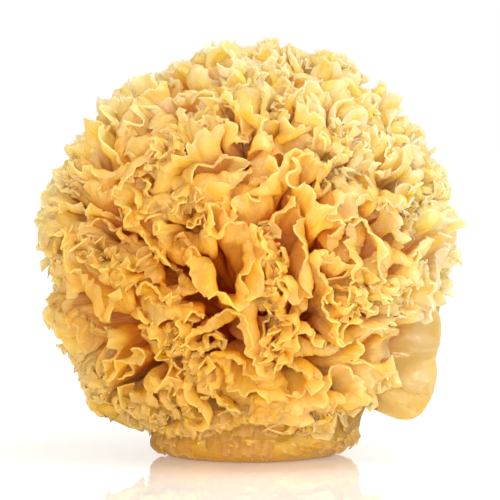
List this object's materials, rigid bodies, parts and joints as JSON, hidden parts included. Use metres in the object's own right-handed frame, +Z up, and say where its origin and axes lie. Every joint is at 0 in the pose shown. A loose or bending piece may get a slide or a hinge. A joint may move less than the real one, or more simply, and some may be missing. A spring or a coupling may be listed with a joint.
{
  "type": "snow fungus",
  "caption": "Dried snow fungus: a round, frilled ball of thin cream and amber fronds on a smooth foot with a flat cut underside.",
  "frame": {"origin": "middle of the flat cut under the foot", "axes": "+Z up, out of the cut through the ball; -Y towards the viewer of the picture; +X to the picture's right"},
  "size_m": [0.1081, 0.1096, 0.1092],
  "materials": {
    "frond_tissue": "thin, translucent dried gel, satin, paler at the rims and amber in the depths",
    "foot_tissue": "dried gel, smooth and satin, translucent amber"
  },
  "bodies": {
    "root": {"foot": "foot_tissue", "frond_01": "frond_tissue", "frond_02": "frond_tissue", "frond_03": "frond_tissue", "frond_04": "frond_tissue", "frond_05": "frond_tissue", "frond_06": "frond_tissue", "frond_07": "frond_tissue", "frond_08": "frond_tissue", "frond_09": "frond_tissue", "frond_10": "frond_tissue", "frond_11": "frond_tissue", "frond_12": "frond_tissue", "frond_13": "frond_tissue", "frond_14": "frond_tissue", "frond_15": "frond_tissue", "frond_16": "frond_tissue", "frond_17": "frond_tissue", "frond_18": "frond_tissue", "frond_19": "frond_tissue", "frond_20": "frond_tissue", "frond_21": "frond_tissue", "frond_22": "frond_tissue", "frond_23": "frond_tissue", "frond_24": "frond_tissue", "frond_25": "frond_tissue", "frond_26": "frond_tissue", "frond_27": "frond_tissue", "frond_28": "frond_tissue", "frond_29": "frond_tissue", "frond_30": "frond_tissue", "frond_31": "frond_tissue", "frond_32": "frond_tissue", "frond_33": "frond_tissue", "hanging_lobe": "frond_tissue"}
  },
  "joints": []
}
